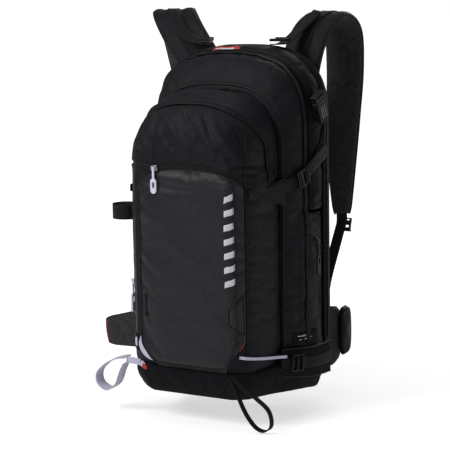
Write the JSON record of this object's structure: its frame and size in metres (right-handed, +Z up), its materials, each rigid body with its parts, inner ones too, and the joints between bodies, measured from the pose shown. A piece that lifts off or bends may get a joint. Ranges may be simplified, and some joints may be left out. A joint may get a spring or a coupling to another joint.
{
  "type": "avalanche airbag backpack",
  "caption": "Ski touring airbag backpack with arched zip pocket, coated stash panel, padded straps, folding hip belt, compression straps and a gas inflated airbag sleeve.",
  "frame": {"origin": "centre of the flat underside of the base tray", "axes": "+Z up, +Y towards the wearer's back (the back panel side), +X the wearer's right"},
  "size_m": [0.4988, 0.4123, 0.6852],
  "materials": {
    "shell_fabric": "matte woven nylon",
    "dark_fabric": "matte ballistic weave",
    "coated_fabric": "satin coated fabric",
    "spacer_mesh": "knitted spacer mesh",
    "webbing": "woven nylon webbing",
    "white_webbing": "woven nylon webbing",
    "zip_coil": "nylon coil",
    "buckle_plastic": "moulded acetal",
    "frame_plastic": "sheet plastic",
    "aluminium": "satin",
    "steel": "satin",
    "hose_rubber": "matte",
    "airbag_fabric": "coated ripstop",
    "trigger_red": "moulded",
    "zip_slider_metal": "satin die cast",
    "light_pull": "moulded rubberised",
    "dark_pull": "moulded"
  },
  "bodies": {
    "pack": {"base_tray": "dark_fabric", "front_pocket": "shell_fabric", "stash_panel": "coated_fabric", "main_compartment": "shell_fabric", "airbag_sleeve": "shell_fabric", "back_panel": "spacer_mesh", "frame_sheet": "frame_plastic", "frame_stays": "aluminium", "lumbar_pad": "dark_fabric", "gas_cartridge": "steel", "inflator_head": "aluminium", "outlet_hose": "hose_rubber", "airbag_roll": "airbag_fabric", "trigger_cable": "frame_plastic", "zipper_tracks": "zip_coil", "back_access_zip": "zip_coil", "compression_webbing": "webbing", "belt_stabilisers": "webbing", "accessory_socket": "buckle_plastic", "gear_loop": "webbing", "ski_loop_right": "white_webbing"},
    "shoulder_strap_left": {"shoulder_strap_left": "shell_fabric", "strap_webbing_left": "webbing", "trigger_pocket": "dark_fabric"},
    "shoulder_strap_right": {"shoulder_strap_right": "shell_fabric", "strap_webbing_right": "webbing"},
    "hip_wing_left": {"hip_wing_left": "shell_fabric", "belt_webbing_left": "webbing"},
    "hip_wing_right": {"hip_wing_right": "shell_fabric", "hip_pocket": "shell_fabric", "belt_webbing_right": "webbing"},
    "front_flap": {"front_flap": "shell_fabric"},
    "haul_handle": {"haul_handle": "webbing"},
    "ski_loop_left": {"ski_loop_left": "white_webbing"},
    "axe_loop": {"axe_loop": "webbing"},
    "lifter_buckle_left": {"lifter_buckle_left": "buckle_plastic"},
    "lifter_buckle_right": {"lifter_buckle_right": "buckle_plastic"},
    "strap_buckle_left": {"strap_buckle_left": "buckle_plastic"},
    "strap_buckle_right": {"strap_buckle_right": "buckle_plastic"},
    "compression_buckle_left": {"compression_buckle_left": "buckle_plastic"},
    "compression_buckle_right": {"compression_buckle_right": "buckle_plastic"},
    "accessory_plug": {"accessory_plug": "buckle_plastic"},
    "sternum_strap_left": {"sternum_strap_left": "buckle_plastic"},
    "sternum_strap_right": {"sternum_strap_right": "buckle_plastic"},
    "trigger_handle": {"trigger_handle": "trigger_red"},
    "trigger_plunger": {"trigger_plunger": "steel"},
    "belt_socket": {"belt_socket": "buckle_plastic"},
    "belt_plug": {"belt_plug": "buckle_plastic"},
    "stash_slider": {"stash_slider": "zip_slider_metal"},
    "stash_pull": {"stash_pull": "light_pull"},
    "arch_slider": {"arch_slider": "zip_slider_metal"},
    "arch_pull": {"arch_pull": "dark_pull"},
    "tool_slider_upper": {"tool_slider_upper": "zip_slider_metal"},
    "tool_pull_upper": {"tool_pull_upper": "light_pull"},
    "tool_slider_lower": {"tool_slider_lower": "zip_slider_metal"},
    "tool_pull_lower": {"tool_pull_lower": "light_pull"},
    "side_slider": {"side_slider": "zip_slider_metal"},
    "side_pull": {"side_pull": "dark_pull"}
  },
  "joints": [
    {"name": "front_flap_hinge", "type": "hinge", "parent": "pack", "child": "front_flap", "pos_m": [0, -0.127, 0.391], "axis": [1, 0, 0], "range_deg": [0, 90]},
    {"name": "haul_handle_swing", "type": "hinge", "parent": "pack", "child": "haul_handle", "pos_m": [0, 0.136, 0.538], "axis": [1, 0, 0], "range_deg": [0, 150]},
    {"name": "ski_loop_swing", "type": "hinge", "parent": "pack", "child": "ski_loop_left", "pos_m": [-0.122, -0.112, 0.054], "axis": [-1, 0, 0], "range_deg": [0, 50]},
    {"name": "axe_loop_swing", "type": "hinge", "parent": "pack", "child": "axe_loop", "pos_m": [0.086, -0.117, 0.044], "axis": [-1, 0, 0], "range_deg": [0, 60]},
    {"name": "shoulder_strap_left_swing", "type": "hinge", "parent": "pack", "child": "shoulder_strap_left", "pos_m": [-0.086, 0.14, 0.5], "axis": [0, 0, -1], "range_deg": [-2, 8]},
    {"name": "shoulder_strap_right_swing", "type": "hinge", "parent": "pack", "child": "shoulder_strap_right", "pos_m": [0.076, 0.136, 0.5], "axis": [0, 0, 1], "range_deg": [-3, 8]},
    {"name": "lifter_buckle_left_tilt", "type": "hinge", "parent": "pack", "child": "lifter_buckle_left", "pos_m": [-0.086, 0.09, 0.585], "axis": [0.9806, 0.1961, 0], "range_deg": [0, 40]},
    {"name": "lifter_buckle_right_tilt", "type": "hinge", "parent": "pack", "child": "lifter_buckle_right", "pos_m": [0.065, 0.09, 0.585], "axis": [1, 0, 0], "range_deg": [0, 40]},
    {"name": "strap_buckle_left_tilt", "type": "hinge", "parent": "shoulder_strap_left", "child": "strap_buckle_left", "pos_m": [-0.145, 0.226, 0.261], "axis": [1, 0, 0], "range_deg": [-5, 40]},
    {"name": "strap_buckle_right_tilt", "type": "hinge", "parent": "shoulder_strap_right", "child": "strap_buckle_right", "pos_m": [0.124, 0.216, 0.261], "axis": [1, 0, 0], "range_deg": [-5, 40]},
    {"name": "compression_buckle_left_tilt", "type": "hinge", "parent": "pack", "child": "compression_buckle_left", "pos_m": [-0.1471, 0.014, 0.358], "axis": [-0.0468, -0.4333, 0.9], "range_deg": [0, 28]},
    {"name": "compression_buckle_right_tilt", "type": "hinge", "parent": "pack", "child": "compression_buckle_right", "pos_m": [0.1471, 0.014, 0.358], "axis": [-0.0468, 0.4333, -0.9], "range_deg": [0, 28]},
    {"name": "accessory_plug_release", "type": "slide", "parent": "pack", "child": "accessory_plug", "axis": [0, -0.4229, 0.9062], "range_m": [0, 0.035]},
    {"name": "sternum_left_adjust", "type": "slide", "parent": "shoulder_strap_left", "child": "sternum_strap_left", "axis": [0.3315, -0.145, -0.9323], "range_m": [-0.02, 0.02]},
    {"name": "sternum_right_adjust", "type": "slide", "parent": "shoulder_strap_right", "child": "sternum_strap_right", "axis": [0.0652, -0.1957, -0.9785], "range_m": [-0.02, 0.02]},
    {"name": "trigger_handle_pull", "type": "slide", "parent": "shoulder_strap_left", "child": "trigger_handle", "axis": [0.2341, 0, -0.9722], "range_m": [0, 0.04]},
    {"name": "trigger_plunger_stroke", "type": "slide", "parent": "pack", "child": "trigger_plunger", "axis": [1, 0, 0], "range_m": [0, 0.01]},
    {"name": "hip_wing_left_fold", "type": "hinge", "parent": "pack", "child": "hip_wing_left", "pos_m": [-0.132, 0.131, 0.06], "axis": [0, 0, 1], "range_deg": [-75, 8]},
    {"name": "hip_wing_right_fold", "type": "hinge", "parent": "pack", "child": "hip_wing_right", "pos_m": [0.126, 0.132, 0.066], "axis": [0, 0, 1], "range_deg": [-65, 5]},
    {"name": "belt_socket_swing", "type": "hinge", "parent": "hip_wing_left", "child": "belt_socket", "pos_m": [-0.2585, 0.152, 0.048], "axis": [0, 0, 1], "range_deg": [0, 25]},
    {"name": "belt_plug_swing", "type": "hinge", "parent": "hip_wing_right", "child": "belt_plug", "pos_m": [-0.0114, 0.25, 0.066], "axis": [0, 0, 1], "range_deg": [-30, 30]},
    {"name": "stash_zip_slide", "type": "hinge", "parent": "pack", "child": "stash_slider", "pos_m": [0, -0.1266, 0.04941], "axis": [0, 1, 0], "range_deg": [-2, 18]},
    {"name": "stash_pull_lift", "type": "hinge", "parent": "stash_slider", "child": "stash_pull", "pos_m": [-0.048, -0.1322, 0.3836], "axis": [-1, 0, 0], "range_deg": [0, 85]},
    {"name": "arch_zip_slide", "type": "slide", "parent": "pack", "child": "arch_slider", "axis": [0, 0, 1], "range_m": [-0.026, 0.01]},
    {"name": "arch_pull_lift", "type": "hinge", "parent": "arch_slider", "child": "arch_pull", "pos_m": [-0.128, -0.044, 0.424], "axis": [0, 1, 0], "range_deg": [0, 140]},
    {"name": "tool_zip_upper_slide", "type": "slide", "parent": "pack", "child": "tool_slider_upper", "axis": [0, 0, 1], "range_m": [-0.09, 0.055]},
    {"name": "tool_pull_upper_lift", "type": "hinge", "parent": "tool_slider_upper", "child": "tool_pull_upper", "pos_m": [-0.12133, -0.092, 0.186], "axis": [0, 1, 0], "range_deg": [0, 140]},
    {"name": "tool_zip_lower_slide", "type": "slide", "parent": "pack", "child": "tool_slider_lower", "axis": [0, 0, 1], "range_m": [-0.07, 0.08]},
    {"name": "tool_pull_lower_lift", "type": "hinge", "parent": "tool_slider_lower", "child": "tool_pull_lower", "pos_m": [-0.123, -0.077, 0.162], "axis": [0, 1, 0], "range_deg": [0, 140]},
    {"name": "side_zip_slide", "type": "slide", "parent": "pack", "child": "side_slider", "axis": [0, 0.8354, -0.5496], "range_m": [0, 0.028]},
    {"name": "side_pull_lift", "type": "hinge", "parent": "side_slider", "child": "side_pull", "pos_m": [0.1552, 0.06, 0.25], "axis": [0, -1, 0], "range_deg": [0, 140]}
  ],
  "couplings": [
    {"joint": "trigger_plunger_stroke", "follows": "trigger_handle_pull", "ratio": 0.25}
  ]
}
